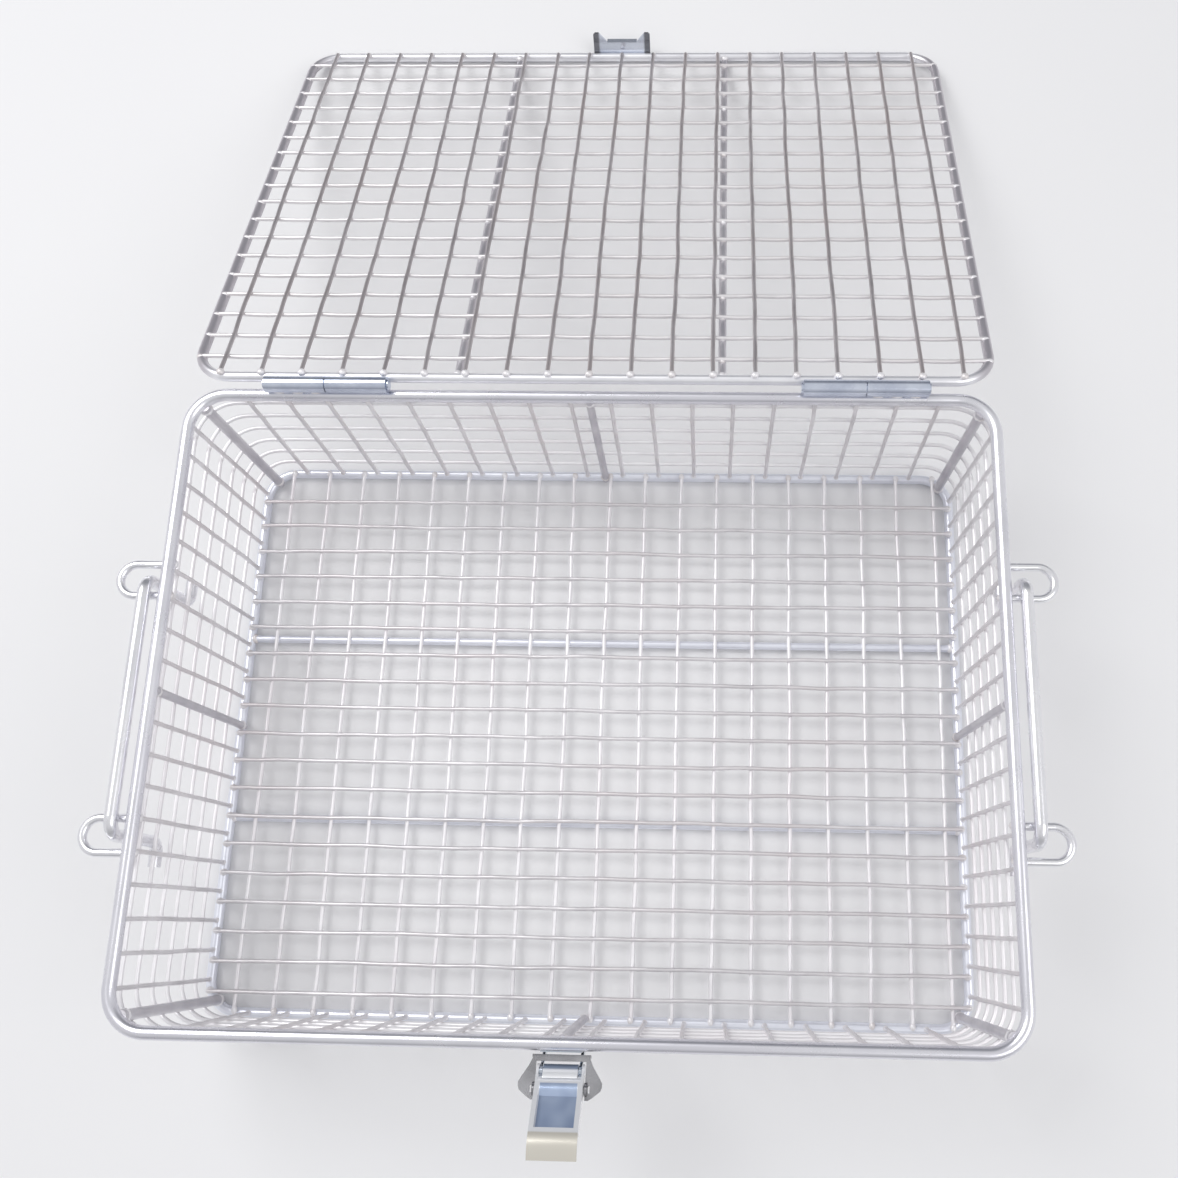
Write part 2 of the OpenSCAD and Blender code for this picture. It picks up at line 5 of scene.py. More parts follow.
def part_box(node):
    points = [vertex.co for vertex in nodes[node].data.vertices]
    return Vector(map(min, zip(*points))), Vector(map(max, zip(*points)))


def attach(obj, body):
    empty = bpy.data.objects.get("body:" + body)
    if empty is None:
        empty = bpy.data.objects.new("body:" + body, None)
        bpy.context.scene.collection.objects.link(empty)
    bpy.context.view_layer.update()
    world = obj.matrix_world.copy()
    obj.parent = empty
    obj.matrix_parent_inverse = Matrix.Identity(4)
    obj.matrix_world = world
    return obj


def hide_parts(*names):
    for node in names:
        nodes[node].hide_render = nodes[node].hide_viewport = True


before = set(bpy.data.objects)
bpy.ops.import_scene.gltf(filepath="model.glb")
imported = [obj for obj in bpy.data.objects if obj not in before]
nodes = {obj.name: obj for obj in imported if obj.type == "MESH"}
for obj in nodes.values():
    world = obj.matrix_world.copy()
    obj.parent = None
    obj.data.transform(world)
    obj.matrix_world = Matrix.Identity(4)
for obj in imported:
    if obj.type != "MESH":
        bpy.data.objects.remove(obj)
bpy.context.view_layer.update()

# The autoclave basket's looks: steel for the CAD solids, wire grids with small bends in place of the CAD's
# straight ones, weld beads, the studio and the camera. Lengths are millimetres, the same as in the part's
# source, where a comment doesn't say metres. finish_piece() brings a piece to the frame's metres.
MM = 0.001

# ---------- sizes ----------
RIM_L, RIM_D, RIM_Z, RIM_R = 394, 298, 103, 18        # top rim: centre line, height and corner radius
RING_L, RING_D, RING_Z, RING_R = 388, 295, 2.5, 16    # bottom ring: the same
WIRE = 2.165                                          # mesh wire, across the corners of its eight sides
WIRE_SIDES = 8
LAYER = 1.7                                           # step between crossing wires
FLOOR_Z = 5.9                                         # the floor's lower wires
FLOOR_ROD_Y = 49
PITCH_X, PITCH_Y, LID_PITCH_Y, PITCH_Z = 20.2, 14.74, 15.85, 14.7
FLOOR_SHIFT_X, FLOOR_SHIFT_Y = 2.9, -4.1
FLOOR_WIRES, LID_WIRES_X, LID_WIRES_Y = 19, 19, 18
FIRST_LEVEL, LEVEL_WIRES = 17, 6                      # the walls' level wires
HINGE_REACH, HINGE_LEAN = 7.34, math.radians(70)      # from the rim's centre line to the hinge's axis
LID_REACH, LID_DROP = 6.84, math.radians(12.5)        # from the hinge's axis to the lid's near rod
LID_L, LID_D, LID_ROD, LID_CROSS_X = 392, 294.8, 5, 65
LID_CLEAR = 0.3                                       # under the open lid's far rod
LEVER_OPEN = math.radians(38.5)
LEVER_Y, LEVER_Z = -160.5, 98.4                       # the lever's pin

HINGE_Y = RIM_D / 2 + HINGE_REACH * math.cos(HINGE_LEAN)
HINGE_Z = RIM_Z + HINGE_REACH * math.sin(HINGE_LEAN)
LID_START = LID_REACH * math.cos(LID_DROP)
LID_LOW = LID_REACH * math.sin(LID_DROP)
LID_FAR = LID_START + LID_D
LID_SLOPE = (math.asin((HINGE_Z - LID_ROD / 2 - LID_CLEAR) / math.hypot(LID_FAR, LID_LOW))
             - math.atan(LID_LOW / LID_FAR))


# ---------- shader nodes ----------
def node_tree(name):
    """A new material with a principled shader: the material, its node tree and the shader."""
    m = bpy.data.materials.new(name)
    m.use_nodes = True
    nt = m.node_tree
    nt.nodes.clear()
    out = nt.nodes.new("ShaderNodeOutputMaterial")
    shader = nt.nodes.new("ShaderNodeBsdfPrincipled")
    nt.links.new(shader.outputs[0], out.inputs[0])
    return m, nt, shader


def object_coordinates(nt):
    return nt.nodes.new("ShaderNodeTexCoord").outputs["Object"]


def noise_texture(nt, scale, detail, vector=None):
    t = nt.nodes.new("ShaderNodeTexNoise")
    t.inputs["Scale"].default_value = scale
    t.inputs["Detail"].default_value = detail
    nt.links.new(object_coordinates(nt) if vector is None else vector, t.inputs["Vector"])
    return t.outputs["Fac"]


def ramp(nt, fac, stops):
    """A colour ramp through (position, colour) stops."""
    r = nt.nodes.new("ShaderNodeValToRGB")
    elements = r.color_ramp.elements
    while len(elements) < len(stops):
        elements.new(0.5)
    for element, (position, colour) in zip(elements, stops):
        element.position = position
        element.color = (*colour, 1)
    nt.links.new(fac, r.inputs[0])
    return r.outputs[0]


def math_node(nt, operation, *values):
    n = nt.nodes.new("ShaderNodeMath")
    n.operation = operation
    for socket, value in zip(n.inputs, values):
        nt.links.new(value, socket)
    return n.outputs[0]


def smooth_step(nt, value, start, end):
    """0 up to start, 1 from end on, and smooth between them."""
    r = nt.nodes.new("ShaderNodeMapRange")
    r.interpolation_type = "SMOOTHSTEP"
    r.inputs["From Min"].default_value = start
    r.inputs["From Max"].default_value = end
    nt.links.new(value, r.inputs["Value"])
    return r.outputs[0]


def band(nt, value, lo, hi, soft):
    """1 inside lo..hi and 0 outside, with a soft edge."""
    return math_node(nt, "MULTIPLY", smooth_step(nt, value, lo - soft, lo + soft),
                     smooth_step(nt, value, hi + soft, hi - soft))


def mixed(nt, fac, base, colour):
    """The base colour where fac is 0 and the other colour, a tuple or a socket, where it is 1."""
    n = nt.nodes.new("ShaderNodeMix")
    n.data_type = "RGBA"
    nt.links.new(fac, n.inputs[0])
    nt.links.new(base, n.inputs[6])
    if isinstance(colour, tuple):
        n.inputs[7].default_value = (*colour, 1)
    else:
        nt.links.new(colour, n.inputs[7])
    return n.outputs[2]


def distance_along(nt, axis, centre=(0, 0, 0)):
    """Distance of the shaded point from a centre along an axis, in metres."""
    away = nt.nodes.new("ShaderNodeVectorMath")
    away.operation = "SUBTRACT"
    nt.links.new(object_coordinates(nt), away.inputs[0])
    away.inputs[1].default_value = centre
    dot = nt.nodes.new("ShaderNodeVectorMath")
    dot.operation = "DOT_PRODUCT"
    nt.links.new(away.outputs[0], dot.inputs[0])
    dot.inputs[1].default_value = axis
    return dot.outputs["Value"]


# ---------- steels ----------
TINT_SCALE, WEAR_SCALE = 0.22, 1.6       # of the tint's patches and the wear, against the colour drift
WEAR_DEPTH = 0.0003                      # metres


def steel(name, light, dark, smooth, rough, scale, bump, tint=None, brush=(1, 1, 1), metal=1.0):
    """Stainless steel: slow colour drift, a heat or pickling tint in patches, and fine wear in the roughness."""
    m, nt, shader = node_tree(name)
    shader.inputs["Metallic"].default_value = metal
    colour = ramp(nt, noise_texture(nt, scale, 4), [(0.3, dark), (0.62, light)])
    if tint:
        patches = noise_texture(nt, scale * TINT_SCALE, 2)
        colour = mixed(nt, ramp(nt, patches, [(0.45, (0, 0, 0)), (0.7, (1, 1, 1))]), colour, tint)
    nt.links.new(colour, shader.inputs["Base Color"])

    mapping = nt.nodes.new("ShaderNodeMapping")
    nt.links.new(object_coordinates(nt), mapping.inputs[0])
    mapping.inputs["Scale"].default_value = brush
    wear = noise_texture(nt, scale * WEAR_SCALE, 3, mapping.outputs[0])
    r = nt.nodes.new("ShaderNodeMapRange")
    r.inputs["To Min"].default_value = smooth
    r.inputs["To Max"].default_value = rough
    nt.links.new(wear, r.inputs["Value"])
    nt.links.new(r.outputs[0], shader.inputs["Roughness"])
    b = nt.nodes.new("ShaderNodeBump")
    b.inputs["Strength"].default_value = bump
    b.inputs["Distance"].default_value = WEAR_DEPTH
    nt.links.new(wear, b.inputs["Height"])
    nt.links.new(b.outputs[0], shader.inputs["Normal"])
    return m


def repaint(m, layers):
    """Layers of colour over a steel's own: layers(nt) gives (mask, colour) pairs, the lowest first."""
    nt = m.node_tree
    colour_socket = next(n for n in nt.nodes if n.type == "BSDF_PRINCIPLED").inputs["Base Color"]
    base = colour_socket.links[0].from_socket
    for mask, colour in layers(nt):
        base = mixed(nt, mask, base, colour)
    nt.links.new(base, colour_socket)
    return m


def outside(limit, soft, colour):
    """Painted shade: another, darker tone from a distance (metres) each side of the middle on."""
    return lambda nt: [(band(nt, math_node(nt, "ABSOLUTE", distance_along(nt, (1, 0, 0))), limit, 9, soft), colour)]


def lever_painted_light_layers(nt):
    """Painted light on the lever: a polished panel in painted blue reflection, a lip in painted beige shade, and the
    roll at the pin darker with painted shade, in metres from the pin.
    """
    pin = (0, LEVER_Y * MM, LEVER_Z * MM)
    along = distance_along(nt, (0, -math.cos(LEVER_OPEN), math.sin(LEVER_OPEN)), pin)
    side = math_node(nt, "ABSOLUTE", distance_along(nt, (1, 0, 0), pin))
    # Painted reflection: the polished panel's blue and grey, painted into its colour.
    painted_reflection = ramp(nt, noise_texture(nt, 70, 1),
                  [(0.34, (0.20, 0.27, 0.42)), (0.52, (0.31, 0.39, 0.56)), (0.68, (0.44, 0.53, 0.70))])
    panel = math_node(nt, "MULTIPLY", band(nt, along, 0.0072, 0.0266, 0.0003), band(nt, side, -1, 0.0079, 0.0002))
    # Painted shade: the lip's warm beige-grey, darker than the rest of the lever.
    lip = band(nt, along, 0.0287, 1, 0.0004)
    # Painted shade: the roll round the pin, darker blue-grey.
    roll = math_node(nt, "MULTIPLY", band(nt, along, -1, 0.0008, 0.0006), band(nt, side, -1, 0.0081, 0.0002))
    return [(panel, painted_reflection), (lip, (0.67, 0.64, 0.57)), (roll, (0.24, 0.29, 0.38))]


ROD = steel("rod_steel", (0.87, 0.87, 0.91), (0.73, 0.73, 0.78), 0.22, 0.34, 40, 0.05,
            tint=(0.76, 0.755, 0.81), metal=0.96)
# Painted highlight: a lighter, bluish copy of the rod steel, for the floor rods and the bottom ring.
ROD_PAINTED_HIGHLIGHT = steel("rod_steel_painted_highlight", (0.86, 0.88, 0.95), (0.76, 0.775, 0.85), 0.26, 0.38, 40, 0.05, metal=0.6)
WIRE_PLAIN = steel("wire_steel", (0.84, 0.82, 0.835), (0.68, 0.66, 0.675), 0.28, 0.42, 60, 0.08,
                   tint=(0.74, 0.70, 0.71), metal=0.6)
# Painted highlight: a lighter copy of the wire steel, for the floor's wires along Y and the walls' level wires.
WIRE_PAINTED_HIGHLIGHT = steel("wire_painted_highlight", (0.95, 0.94, 0.955), (0.84, 0.825, 0.845), 0.28, 0.42, 60, 0.08,
                    tint=(0.88, 0.85, 0.87), metal=0.35)
# Painted highlight: a lighter copy of the wire steel, for the lid's wires along X.
WIRE_CROSS_PAINTED_HIGHLIGHT = steel("wire_cross_painted_highlight", (0.88, 0.86, 0.87), (0.76, 0.74, 0.75), 0.32, 0.46, 60, 0.08,
                   tint=(0.80, 0.77, 0.77), metal=0.6)
# Painted shade: a darker copy of the wire steel, for the lid's wires along Y.
WIRE_PAINTED_SHADE = steel("wire_painted_shade", (0.60, 0.57, 0.58), (0.44, 0.41, 0.42), 0.30, 0.44, 60, 0.08,
                  tint=(0.50, 0.45, 0.45), metal=0.85)
HANDLE = steel("handle_steel", (0.90, 0.90, 0.925), (0.78, 0.78, 0.82), 0.20, 0.32, 40, 0.05, metal=0.96)
# Painted shade: a darker copy of the rod steel, for the posts and the cross rods.
POST_PAINTED_SHADE = steel("post_steel_painted_shade", (0.68, 0.665, 0.695), (0.55, 0.535, 0.575), 0.32, 0.46, 60, 0.06, metal=0.85)
# Painted reflection: the knuckles' blue tint.
HINGE_PAINTED_REFLECTION = steel("hinge_steel", (0.72, 0.77, 0.88), (0.54, 0.59, 0.71), 0.14, 0.26, 60, 0.05,
              brush=(8, 1, 1), metal=0.96)
# Painted reflection: the latch plates' blue-grey.
LATCH_PAINTED_REFLECTION = steel("latch_steel_painted_reflection", (0.60, 0.65, 0.72), (0.46, 0.51, 0.58), 0.10, 0.20, 40, 0.04, brush=(1, 6, 6))
WELD = steel("weld_steel", (0.92, 0.91, 0.93), (0.78, 0.76, 0.78), 0.34, 0.55, 300, 0.3,
             tint=(0.76, 0.72, 0.71), metal=0.45)
# Painted shade: a dark copy of the steel, for the claw.
CLAW_PAINTED_SHADE = steel("claw_steel_painted_shade", (0.37, 0.37, 0.385), (0.24, 0.24, 0.25), 0.16, 0.28, 60, 0.05)
# The lever: its light steel under a painted reflection and painted shade.
LEVER = repaint(steel("lever_steel", (0.96, 0.97, 0.99), (0.88, 0.89, 0.92), 0.16, 0.26, 40, 0.03, metal=0.5),
                lever_painted_light_layers)
# Lid frame: its side rods, beyond 189 mm from the middle, darker with painted shade.
LID_FRAME_PAINTED_SHADE = repaint(steel("lid_frame_steel_painted_shade", (0.93, 0.93, 0.96), (0.80, 0.80, 0.84), 0.26, 0.38, 40, 0.05, metal=0.8),
                outside(0.189, 0.006, (0.56, 0.535, 0.57)))
# Keeper: its blue is a painted reflection, and its ears, beyond 14.2 mm from the middle, are near black with painted
# shade.
KEEPER_PAINTED_LIGHT = repaint(steel("keeper_steel_painted_light", (0.72, 0.76, 0.84), (0.56, 0.60, 0.68), 0.12, 0.22, 40, 0.04, metal=0.9),
                 outside(0.0142, 0.0008, (0.20, 0.205, 0.225)))


def steel_of(name):
    """The material of a CAD node."""
    if name in ("latch_lever", "keeper", "lid_frame"):
        return {"latch_lever": LEVER, "keeper": KEEPER_PAINTED_LIGHT, "lid_frame": LID_FRAME_PAINTED_SHADE}[name]
    if "claw" in name:
        return CLAW_PAINTED_SHADE
    if name.startswith(("latch", "lever")):
        return LATCH_PAINTED_REFLECTION
    if "knuckle" in name or "hinge" in name:
        return HINGE_PAINTED_REFLECTION
    if name.startswith(("handle", "loop")):
        return HANDLE
    if "post" in name or "cross_rod" in name:
        return POST_PAINTED_SHADE
    if name.startswith(("floor_rod", "bottom_ring")):
        return ROD_PAINTED_HIGHLIGHT
    if name.endswith("_mesh"):
        return WIRE_PLAIN
    return ROD


for name, o in nodes.items():
    for s in o.material_slots:
        s.material = steel_of(name)
    if not o.material_slots:
        o.data.materials.append(steel_of(name))

# ---------- wires and beads ----------
END_DEPTH, END_TAPER = 0.5, 0.6          # a wire's domed end, in its radius


def tube(bm, points, r):
    """A wire along points, with domed ends."""
    points = [Vector(p) for p in points]
    last = len(points) - 1
    ways = [(points[min(i + 1, last)] - points[max(i - 1, 0)]).normalized() for i in range(last + 1)]
    up = Vector((0, 0, 1)) if abs(ways[0].z) < 0.8 else Vector((1, 0, 0))
    start, end = points[0], points[-1]
    points[0] = start + ways[0] * r * END_DEPTH
    points[-1] = end - ways[-1] * r * END_DEPTH
    sections = [(start, ways[0], END_TAPER)]
    sections += [(p, way, 1.0) for p, way in zip(points, ways)]
    sections += [(end, ways[-1], END_TAPER)]
    rings = []
    for p, way, size in sections:
        side = way.cross(up).normalized()
        top = side.cross(way).normalized()
        turns = (2 * math.pi * j / WIRE_SIDES for j in range(WIRE_SIDES))
        rings.append([bm.verts.new(p + (side * math.cos(t) + top * math.sin(t)) * r * size) for t in turns])
    for a, b in zip(rings, rings[1:]):
        for j in range(WIRE_SIDES):
            k = (j + 1) % WIRE_SIDES
            bm.faces.new((a[j], a[k], b[k], b[j]))
    bm.faces.new(rings[0][::-1])
    bm.faces.new(rings[-1])


BEAD_ROUGH = 0.12        # how uneven a weld bead is


def bead(bm, centre, half, segments=8, rings=5):
    """A small rounded weld, a little uneven. half is its half size along X, Y and Z."""
    centre = Vector(centre)
    rows = []
    for i in range(1, rings):
        t = math.pi * i / rings
        ring = []
        for j in range(segments):
            u = 2 * math.pi * j / segments
            v = Vector((math.sin(t) * math.cos(u), math.sin(t) * math.sin(u), math.cos(t)))
            k = 1 + BEAD_ROUGH * noise.noise(v * 1.7 + centre * 0.37)
            ring.append(bm.verts.new(centre + Vector((v.x * half[0] * k, v.y * half[1] * k, v.z * half[2] * k))))
        rows.append(ring)
    top = bm.verts.new(centre + Vector((0, 0, half[2])))
    bottom = bm.verts.new(centre - Vector((0, 0, half[2])))
    for upper, lower in zip(rows, rows[1:]):
        for j in range(segments):
            k = (j + 1) % segments
            bm.faces.new((upper[j], lower[j], lower[k], upper[k]))
    for j in range(segments):
        k = (j + 1) % segments
        bm.faces.new((top, rows[0][j], rows[0][k]))
        bm.faces.new((rows[-1][k], rows[-1][j], bottom))


def paint_from(bm, first, material):
    """Give the faces from a count on a material of the piece."""
    bm.faces.ensure_lookup_table()
    for f in bm.faces[first:]:
        f.material_index = material


def finish_piece(name, bm, mats, body, place=None, hide=()):
    """Make the piece's object, in metres, on its body."""
    me = bpy.data.meshes.new(name)
    bmesh.ops.recalc_face_normals(bm, faces=bm.faces)
    bm.to_mesh(me)
    bm.free()
    me.transform(Matrix.Scale(MM, 4))
    if place is not None:
        me.transform(place)
    for m in mats:
        me.materials.append(m)
    for p in me.polygons:
        p.use_smooth = True
    o = bpy.data.objects.new(name, me)
    bpy.context.scene.collection.objects.link(o)
    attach(o, body)
    if hide:
        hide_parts(*hide)


# ---------- welded grids ----------
BEADS, SECOND_WAY = 1, 2                     # a grid's materials after its first wires', which is 0
STEPS = (0.12, 0.35, 0.65, 0.88)             # a wire's points between two crossings
PANEL_BEND = 0.9                             # how far the floor's and the lid's wires stray


def row(count, pitch, shift=0):
    return [shift + (i - (count - 1) / 2) * pitch for i in range(count)]


def wave(seed, t, size):
    """A wire's small bends: a slow one over its length and a short one between crossings."""
    return size * (0.8 * noise.noise(Vector((seed * 3.17, t * 0.011, 0.3)))
                   + 0.5 * noise.noise(Vector((seed * 1.73, t * 0.045, 7.1))))


def bulge(t, crossings, depth):
    """A pressed wire's bulge: nothing at a crossing, most in the middle between two of them."""
    for a, b in zip(crossings, crossings[1:]):
        if a <= t <= b:
            return depth * max(0, math.sin(math.pi * (t - a) / (b - a))) ** 0.6
    return 0


def stations(start, end, crossings):
    """Points along a wire, closer together at its crossings."""
    found = {start, end}
    for a, b in zip([start] + list(crossings), list(crossings) + [end]):
        if b - a > 1.5:
            found |= {a + (b - a) * k for k in STEPS}
    found |= {c for c in crossings if start < c < end}
    return sorted(found)


def panel_grid(xs, ys, y_ends, x_ends, top, seed):
    """A flat welded grid: wires along Y at height 0, and wires along X one layer over (top 1) or under them (-1)."""
    bm = bmesh.new()

    def x_of(i, t):
        return xs[i] + wave(seed + i + 1, t, PANEL_BEND)

    def y_of(j, t):
        return ys[j] + wave(seed + j + 71, t, PANEL_BEND)

    for i in range(len(xs)):
        tube(bm, [(x_of(i, t), t, -top * bulge(t, ys, 0.25)) for t in stations(*y_ends, ys)], WIRE / 2)
    second = len(bm.faces)
    for j in range(len(ys)):
        tube(bm, [(t, y_of(j, t), top * (LAYER + bulge(t, xs, 0.35))) for t in stations(*x_ends, xs)], WIRE / 2)
    beads = len(bm.faces)
    paint_from(bm, second, SECOND_WAY)
    for i in range(len(xs)):
        for j in range(len(ys)):
            x, y = x_of(i, ys[j]), y_of(j, xs[i])
            if x_ends[0] < x < x_ends[1] and y_ends[0] < y < y_ends[1]:
                bead(bm, (x, y, top * LAYER / 2), (1.15, 1.15, 0.85), 7, 4)
    paint_from(bm, beads, BEADS)
    return bm


floor_x = row(FLOOR_WIRES, PITCH_X, FLOOR_SHIFT_X)
floor_y = row(FLOOR_WIRES, PITCH_Y, FLOOR_SHIFT_Y)
half_l, half_d = RING_L / 2 - 0.3, RING_D / 2 - 0.3      # the wires end on the ring, a little inside its middle
bm = panel_grid(floor_x, floor_y, (-half_d, half_d), (-half_l, half_l), 1, 3)
finish_piece("floor_grid", bm, [WIRE_PAINTED_HIGHLIGHT, WELD, WIRE_PLAIN], "basket", Matrix.Translation((0, 0, FLOOR_Z * MM)),
             ["floor_mesh"])

LEVELS = [FIRST_LEVEL + k * PITCH_Z for k in range(LEVEL_WIRES)]
CORNER_POINTS, CORNER_START, CORNER_STEP = 6, 45.5, 9.1      # half a corner's turn, in degrees


def between(ring, rim, z):
    """Between a size of the bottom ring and one of the rim, at a height."""
    return ring + (rim - ring) * (z - RING_Z) / (RIM_Z - RING_Z)


def wall(name, places, ring_half, rim_half, ring_out, rim_out, place, seed):
    """Upright wires between ring and rim, and level wires outside them that turn half of each corner.

    places are the uprights along the wall. The wall's half length and its distance from the middle go from
    ring_half and ring_out to rim_half and rim_out, and place(along, out, z) puts a point on it.
    """
    bm = bmesh.new()

    def along_of(i, z):
        return places[i] + wave(seed + i, z, 0.6)

    def z_of(k, u):
        return LEVELS[k] + wave(seed + k + 40, u, 0.5)

    def out_at(z):
        return between(ring_out, rim_out, z)

    for i in range(len(places)):
        tube(bm, [place(along_of(i, z), out_at(z) - bulge(z, LEVELS, 0.2), z)
                  for z in stations(RING_Z + 2.4, RIM_Z - 2.9, LEVELS)], WIRE / 2)
    second = len(bm.faces)
    for k, z in enumerate(LEVELS):
        out, r = out_at(z), between(RING_R, RIM_R, z)
        straight = between(ring_half, rim_half, z) - r
        corner = []
        for n in range(CORNER_POINTS):
            a = math.radians(CORNER_START - CORNER_STEP * n)
            corner.append((-straight - (r + LAYER) * math.sin(a), out - r + (r + LAYER) * math.cos(a),
                           z_of(k, -straight)))
        middle = [(t, out + LAYER + bulge(t, places, 0.3), z_of(k, t))
                  for t in stations(-straight, straight, places)][1:-1]
        other = [(-u, v, z_of(k, straight)) for u, v, _ in corner[::-1]]
        tube(bm, [place(*p) for p in corner + middle + other], WIRE / 2)
    beads = len(bm.faces)
    paint_from(bm, second, SECOND_WAY)
    for i in range(len(places)):
        for k, z in enumerate(LEVELS):
            wire_z = z_of(k, along_of(i, z))
            bead(bm, place(along_of(i, z), out_at(wire_z) + LAYER / 2, wire_z), (1.1, 1.1, 1.1), 7, 4)
        for z, r in ((RING_Z + 2.6, 1.5), (RIM_Z - 3.2, 1.45)):
            bead(bm, place(along_of(i, z), out_at(z), z), (r, r, 0.9 * r))
    for k, z in enumerate(LEVELS):                           # on the mid post
        bead(bm, place(0, out_at(z) + LAYER - 1.1, z_of(k, 0)), (1.5, 1.2, 1.3))
    paint_from(bm, beads, BEADS)
    finish_piece(name + "_grid", bm, [WIRE_PLAIN, WELD, WIRE_PAINTED_HIGHLIGHT], "basket", None, [name + "_mesh"])


def uprights(floor_places, pitch, ring_length):
    """A wall's uprights: beside the floor's wires, and clear of the mid post and the corners."""
    return [v for v in (p + 0.35 * pitch for p in floor_places) if 3.3 < abs(v) <= ring_length / 2 - RING_R + 3]


long_side = (uprights(floor_x, PITCH_X, RING_L), RING_L / 2, RIM_L / 2, RING_D / 2, RIM_D / 2)
short_side = (uprights(floor_y, PITCH_Y, RING_D), RING_D / 2, RIM_D / 2, RING_L / 2, RIM_L / 2)
wall("back", *long_side, lambda u, v, z: (u, v, z), 101)
wall("front", *long_side, lambda u, v, z: (u, -v, z), 151)
wall("right", *short_side, lambda u, v, z: (v, u, z), 201)
wall("left", *short_side, lambda u, v, z: (-v, u, z), 251)

# The open lid's grid: its wires along Y lie on the frame rod, and its wires along X under them, inside the frame.
lid_x = row(LID_WIRES_X, PITCH_X)
lid_y = row(LID_WIRES_Y, LID_PITCH_Y)
grid_height = LID_ROD / 2 + 1 - 0.1
half_l = LID_L / 2 - math.sqrt(2.5 ** 2 - 0.7 ** 2) + 0.1
LID_PLACE = (Matrix.Translation((0, HINGE_Y * MM, HINGE_Z * MM)) @ Matrix.Rotation(-LID_SLOPE, 4, "X")
             @ Matrix.Translation((0, (LID_START + LID_D / 2) * MM, (grid_height - LID_LOW) * MM)))
bm = panel_grid(lid_x, lid_y, (-LID_D / 2 - 0.2, LID_D / 2 - 1.8), (-half_l - 1.2, half_l + 1.2), -1, 301)
finish_piece("lid_grid", bm, [WIRE_PAINTED_SHADE, WELD, WIRE_CROSS_PAINTED_HIGHLIGHT], "lid", LID_PLACE, ["lid_mesh"])

# ---------- weld beads where wires, posts and fittings meet rods ----------
SIDES = (-1, 1)
POST_IN = 1.85                               # how far a corner post's middle is inside the ring's and the rim's
LOOP_Z = 100.2                               # the loops' ends on the rim


def box_of(node):
    lo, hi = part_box(node)
    return [v / MM for v in lo], [v / MM for v in hi]


bm = bmesh.new()
for y in floor_y:
    for s in SIDES:
        bead(bm, (s * (RING_L / 2 - 1.3), y, 6.2), (2.3, 1.9, 1.9))
for x in floor_x:
    for s in SIDES:
        bead(bm, (x, s * (RING_D / 2 - 1.2), 5.9), (1.7, 2.2, 1.5))
cos45 = math.cos(math.radians(45))
for sx in SIDES:
    for sy in SIDES:
        bead(bm, (sx * (RING_L / 2 - 2.6), sy * FLOOR_ROD_Y, 3.3), (2.2, 2.8, 1.9))
        for length, depth, r, z, flat in ((RING_L, RING_D, RING_R, RING_Z + 3.1, 1.7),
                                          (RIM_L, RIM_D, RIM_R, RIM_Z - 3.6, 1.5)):
            k = r * (1 - cos45) + POST_IN * cos45
            bead(bm, (sx * (length / 2 - k), sy * (depth / 2 - k), z), (3.3, 3.3, flat))
    for length, depth, z in ((RING_L, RING_D, RING_Z + 3.0), (RIM_L, RIM_D, RIM_Z - 3.6)):
        bead(bm, (sx * (length / 2 - 1.35), 0, z), (2.6, 2.9, 1.5))
        bead(bm, (0, sx * (depth / 2 - 1.35), z), (2.9, 2.6, 1.5))
for name in ("loop_left_front", "loop_left_back", "loop_right_front", "loop_right_back"):
    lo, hi = box_of(name)
    side = 1 if lo[0] > 0 else -1
    for y in (lo[1] + 2, hi[1] - 2):
        bead(bm, (side * (RIM_L / 2 - 0.4), y, LOOP_Z), (3.2, 2.5, 1.6))
for name in ("rim_knuckle_left", "rim_knuckle_right"):
    lo, hi = box_of(name)
    for t in (0.2, 0.5, 0.8):
        bead(bm, (lo[0] + t * (hi[0] - lo[0]), RIM_D / 2 + 0.4, RIM_Z + 3.0), (3.4, 1.3, 0.9))
finish_piece("basket_welds", bm, [WELD], "basket", None, ())

bm = bmesh.new()
for x in lid_x:
    bead(bm, (x, -LID_D / 2 + 0.2, -0.2), (2.1, 2.1, 1.5))
    bead(bm, (x, LID_D / 2 - 1.7, -0.8), (1.5, 1.7, 1.3))
for y in lid_y:
    for s in SIDES:
        bead(bm, (s * (LID_L / 2 - 0.6), y, -1.9), (2.3, 1.5, 1.3))
        bead(bm, (s * LID_CROSS_X, y, -2.6), (1.7, 1.7, 1.2))
for s in SIDES:
    for e in SIDES:
        bead(bm, (s * LID_CROSS_X, e * (LID_D / 2 - 2.4), -3.2), (2.6, 2.4, 1.9))
finish_piece("lid_welds", bm, [WELD], "lid", LID_PLACE, ())

# ---------- the lever's sheet rolled round its pin ----------
ROLL_R, ROLL_HALF = 2.4, 0.42                # the roll's middle radius and half its thickness
ROLL_X = (-7.4, -7.2, 0, 7.2, 7.4)           # places across it


def on_lever(x, along, high):
    """A point along the lever from its pin, and square to it, in the frame."""
    return (x, LEVER_Y - along * math.cos(LEVER_OPEN) + high * math.sin(LEVER_OPEN),
            LEVER_Z + along * math.sin(LEVER_OPEN) + high * math.cos(LEVER_OPEN))


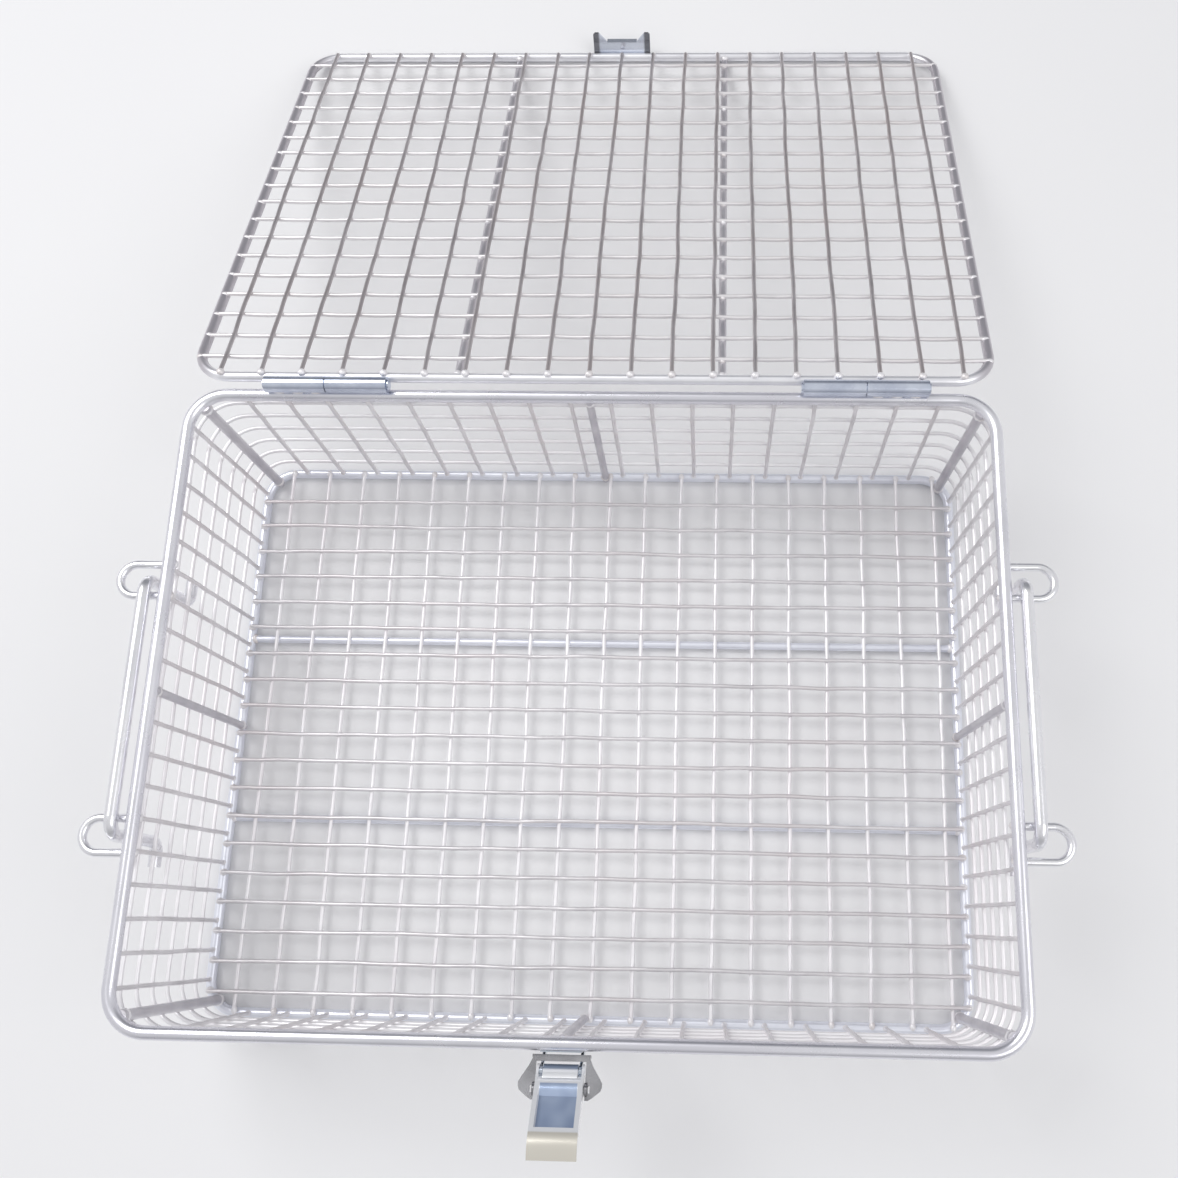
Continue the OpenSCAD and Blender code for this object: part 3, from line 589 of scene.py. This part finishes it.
bm = bmesh.new()
profile = [(5.2, 1.75), (4.3, 2.05), (3.2, 2.3), (1.8, 2.42)]
profile += [(ROLL_R * math.sin(t), ROLL_R * math.cos(t)) for t in map(math.radians, range(20, -250, -18))]
rows = []
for k, (along, high) in enumerate(profile):
    a, b = profile[max(k - 1, 0)], profile[min(k + 1, len(profile) - 1)]
    way = Vector((b[0] - a[0], b[1] - a[1])).normalized()
    n = Vector((-way.y, way.x)) * ROLL_HALF
    rows.append([[bm.verts.new(on_lever(x, along + n.x * e, high + n.y * e)) for e in (1, -1)] for x in ROLL_X])
for r0, r1 in zip(rows, rows[1:]):
    for i in range(len(ROLL_X) - 1):
        for e in (0, 1):
            bm.faces.new((r0[i][e], r0[i + 1][e], r1[i + 1][e], r1[i][e]))
    for i in (0, len(ROLL_X) - 1):
        bm.faces.new((r0[i][0], r0[i][1], r1[i][1], r1[i][0]))
for r in (rows[0], rows[-1]):
    for i in range(len(ROLL_X) - 1):
        bm.faces.new((r[i][0], r[i + 1][0], r[i + 1][1], r[i][1]))
finish_piece("lever_curl", bm, [LEVER], "lever", None, ())

# ---------- floor, light and camera, in metres ----------
bpy.ops.mesh.primitive_plane_add(size=12, location=(0, 0, -0.0004))
floor = bpy.context.object
floor.name = "studio_floor"
m, nt, shader = node_tree("studio_floor")
nt.links.new(ramp(nt, noise_texture(nt, 3, 2), [(0.3, (0.80, 0.80, 0.81)), (0.7, (0.82, 0.82, 0.828))]),
             shader.inputs["Base Color"])
shader.inputs["Roughness"].default_value = 0.9
shader.inputs["Specular IOR Level"].default_value = 0.1
floor.data.materials.append(m)

# The studio grows lighter towards its ceiling. Its walls on the left and right are bright, and the far one is dark.
world = bpy.data.worlds.new("studio")
bpy.context.scene.world = world
world.use_nodes = True
nt = world.node_tree
nt.nodes.clear()
out = nt.nodes.new("ShaderNodeOutputWorld")
light = nt.nodes.new("ShaderNodeBackground")
xyz = nt.nodes.new("ShaderNodeSeparateXYZ")
nt.links.new(nt.nodes.new("ShaderNodeTexCoord").outputs["Generated"], xyz.inputs[0])
tone = ramp(nt, xyz.outputs["Z"], [(0.0, (0.50, 0.50, 0.52)), (0.3, (0.58, 0.58, 0.60)), (0.75, (0.93, 0.93, 0.945))])
sideways = math_node(nt, "ABSOLUTE", xyz.outputs["X"])
tone = mixed(nt, smooth_step(nt, sideways, 0.45, 0.85), tone, (1.0, 1.0, 1.02))
tone = mixed(nt, smooth_step(nt, xyz.outputs["Y"], 0.50, 0.90), tone, (0.33, 0.34, 0.37))
nt.links.new(tone, light.inputs["Color"])
light.inputs["Strength"].default_value = 0.74
nt.links.new(light.outputs[0], out.inputs[0])

BASKET_MIDDLE = Vector((0, 0, 0.05))


def area_light(name, place, size, watts):
    """A soft rectangle of light that faces the basket."""
    d = bpy.data.lights.new(name, "AREA")
    d.shape = "RECTANGLE"
    d.size, d.size_y = size
    d.energy = watts
    o = bpy.data.objects.new(name, d)
    o.location = place
    o.rotation_euler = (BASKET_MIDDLE - Vector(place)).to_track_quat("-Z", "Y").to_euler()
    bpy.context.scene.collection.objects.link(o)


area_light("key", (-0.9, 0.7, 1.6), (1.0, 1.0), 15)
area_light("fill", (1.2, -0.6, 1.4), (1.2, 1.0), 7)

PHOTO_SIZE, FOCAL_PIXELS = 1178, 1159.47         # the photograph's side and the fitted focal length
camera = bpy.data.cameras.new("camera")
camera_object = bpy.data.objects.new("camera", camera)
bpy.context.scene.collection.objects.link(camera_object)
camera_object.location = (0.06057, -0.09972, 0.62248)
camera_object.rotation_euler = (math.radians(15.12), math.radians(1.57), math.radians(1.21))
camera.sensor_width = 36
camera.lens = FOCAL_PIXELS / PHOTO_SIZE * 36
camera.shift_x = -0.0713
camera.shift_y = 0.0200
camera.clip_start = 0.01
bpy.context.scene.camera = camera_object
bpy.context.scene.view_settings.view_transform = "Standard"
